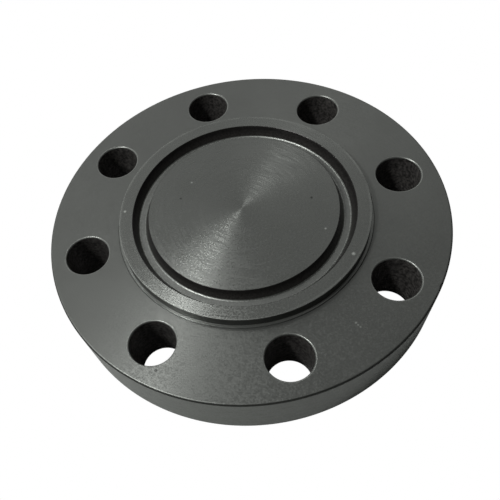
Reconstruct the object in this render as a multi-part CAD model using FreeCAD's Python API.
import FreeCAD, Part
import math
import os

# Ring-joint blind flange, NPS 4 Class 900: one steel forging, turned all over and drilled for eight studs.
# Units are millimetres. The origin is the centre of the back face, and +Z runs along the flange axis,
# towards the gasket side. X and Y are the flange's centrelines, which the stud holes straddle.

# The disc
OUTER_DIAMETER = 290.0
FLANGE_THICKNESS = 44.5  # back face to bolting face, so without the raised part
FRONT_RIM_CHAMFER = 1.0
BACK_RIM_CHAMFER = 1.5

# The raised part that carries the gasket groove
RAISED_DIAMETER = 181.0
RAISED_HEIGHT = 7.92
RAISED_EDGE_CHAMFER = 0.4
LEDGE_WIDTH = 2.0  # the low step that the facing cut left around the foot of the raised part
LEDGE_HEIGHT = 0.5
FOOT_RADIUS = 0.4

# The groove for an R37 ring gasket
GROOVE_PITCH_DIAMETER = 149.23
GROOVE_WIDTH = 11.91  # at the raised face
GROOVE_DEPTH = 7.92
GROOVE_WALL_ANGLE = 23.0  # between each wall and the flange axis
GROOVE_CORNER_RADIUS = 0.8
GROOVE_LIP_CHAMFER = 0.25

# The stud holes
STUD_HOLE_COUNT = 8
STUD_CIRCLE_DIAMETER = 235.0
STUD_HOLE_DIAMETER = 31.8
STUD_HOLE_CHAMFER = 0.7

# Places that follow from the sizes above
OUTER_RADIUS = OUTER_DIAMETER / 2
BOLTING_FACE_Z = FLANGE_THICKNESS
RAISED_RADIUS = RAISED_DIAMETER / 2
RAISED_FACE_Z = BOLTING_FACE_Z + RAISED_HEIGHT
LEDGE_RADIUS = RAISED_RADIUS + LEDGE_WIDTH
LEDGE_Z = BOLTING_FACE_Z + LEDGE_HEIGHT
GROOVE_PITCH_RADIUS = GROOVE_PITCH_DIAMETER / 2
GROOVE_BOTTOM_Z = RAISED_FACE_Z - GROOVE_DEPTH
STUD_HOLE_RADIUS = STUD_HOLE_DIAMETER / 2

OVERRUN = 5.0  # how far a cutting tool's solid reaches past the steel
TOLERANCE = 1e-6
CENTRE = FreeCAD.Vector(0, 0, 0)
AXIS = FreeCAD.Vector(0, 0, 1)


def turned(outline):
    """The solid that a closed outline of (radius, z) corners sweeps about the flange axis."""
    corners = [FreeCAD.Vector(radius, 0, z) for radius, z in outline]
    profile = Part.makePolygon(corners + corners[:1])
    return Part.Face(profile).revolve(CENTRE, AXIS, 360)


def circles(solid, radius, z=None):
    """The solid's circular edges of one radius, at one height if z is given."""
    found = []
    for edge in solid.Edges:
        curve = edge.Curve
        if not isinstance(curve, Part.Circle) or abs(curve.Radius - radius) > TOLERANCE:
            continue
        if z is None or abs(curve.Center.z - z) < TOLERANCE:
            found.append(edge)
    return found


def chamfer(solid, size, radius, z=None):
    return solid.makeChamfer(size, circles(solid, radius, z))


def fillet(solid, size, radius, z=None):
    return solid.makeFillet(size, circles(solid, radius, z))


def turned_blank():
    """The disc with its raised part and the low step at its foot, and every turned edge broken."""
    blank = turned(
        [
            (0, 0),
            (OUTER_RADIUS, 0),
            (OUTER_RADIUS, BOLTING_FACE_Z),
            (LEDGE_RADIUS, BOLTING_FACE_Z),
            (LEDGE_RADIUS, LEDGE_Z),
            (RAISED_RADIUS, LEDGE_Z),
            (RAISED_RADIUS, RAISED_FACE_Z),
            (0, RAISED_FACE_Z),
        ]
    )
    blank = chamfer(blank, BACK_RIM_CHAMFER, OUTER_RADIUS, 0)
    blank = chamfer(blank, FRONT_RIM_CHAMFER, OUTER_RADIUS, BOLTING_FACE_Z)
    blank = chamfer(blank, RAISED_EDGE_CHAMFER, RAISED_RADIUS, RAISED_FACE_Z)
    blank = fillet(blank, FOOT_RADIUS, LEDGE_RADIUS, BOLTING_FACE_Z)
    return fillet(blank, FOOT_RADIUS, RAISED_RADIUS, LEDGE_Z)


def groove_half_width(depth):
    """Half the distance between the groove's leaning walls, at a depth below the raised face."""
    return GROOVE_WIDTH / 2 - depth * math.tan(math.radians(GROOVE_WALL_ANGLE))


def with_gasket_groove(body):
    """The body with the groove turned in, its lips broken and its bottom corners rounded."""
    mouth = groove_half_width(0) + GROOVE_LIP_CHAMFER
    bottom = groove_half_width(GROOVE_DEPTH)
    outer_half = [
        (bottom, GROOVE_BOTTOM_Z),
        (groove_half_width(GROOVE_LIP_CHAMFER), RAISED_FACE_Z - GROOVE_LIP_CHAMFER),
        (mouth, RAISED_FACE_Z),
        (mouth, RAISED_FACE_Z + OVERRUN),
    ]
    inner_half = [(-offset, z) for offset, z in reversed(outer_half)]
    body = body.cut(turned([(GROOVE_PITCH_RADIUS + offset, z) for offset, z in inner_half + outer_half]))
    for offset in (-bottom, bottom):
        body = fillet(body, GROOVE_CORNER_RADIUS, GROOVE_PITCH_RADIUS + offset, GROOVE_BOTTOM_Z)
    return body


def with_stud_holes(body):
    """The body drilled through, with both mouths of every hole chamfered."""
    length = FLANGE_THICKNESS + 2 * OVERRUN
    drills = []
    for i in range(STUD_HOLE_COUNT):
        angle = (i + 0.5) * 2 * math.pi / STUD_HOLE_COUNT
        x = STUD_CIRCLE_DIAMETER / 2 * math.cos(angle)
        y = STUD_CIRCLE_DIAMETER / 2 * math.sin(angle)
        drills.append(Part.makeCylinder(STUD_HOLE_RADIUS, length, FreeCAD.Vector(x, y, -OVERRUN), AXIS))
    return chamfer(body.cut(drills), STUD_HOLE_CHAMFER, STUD_HOLE_RADIUS)


def flange_body():
    """The finished forging."""
    return with_stud_holes(with_gasket_groove(turned_blank()))


def export(name, shape):
    """Writes one node, after making sure that it is one sound solid."""
    if len(shape.Solids) != 1 or not shape.isValid():
        raise ValueError(f"{name} should be one valid solid")
    shape.Solids[0].exportStep(f"parts/{name}.step")


os.makedirs("parts", exist_ok=True)
export("flange_body", flange_body())
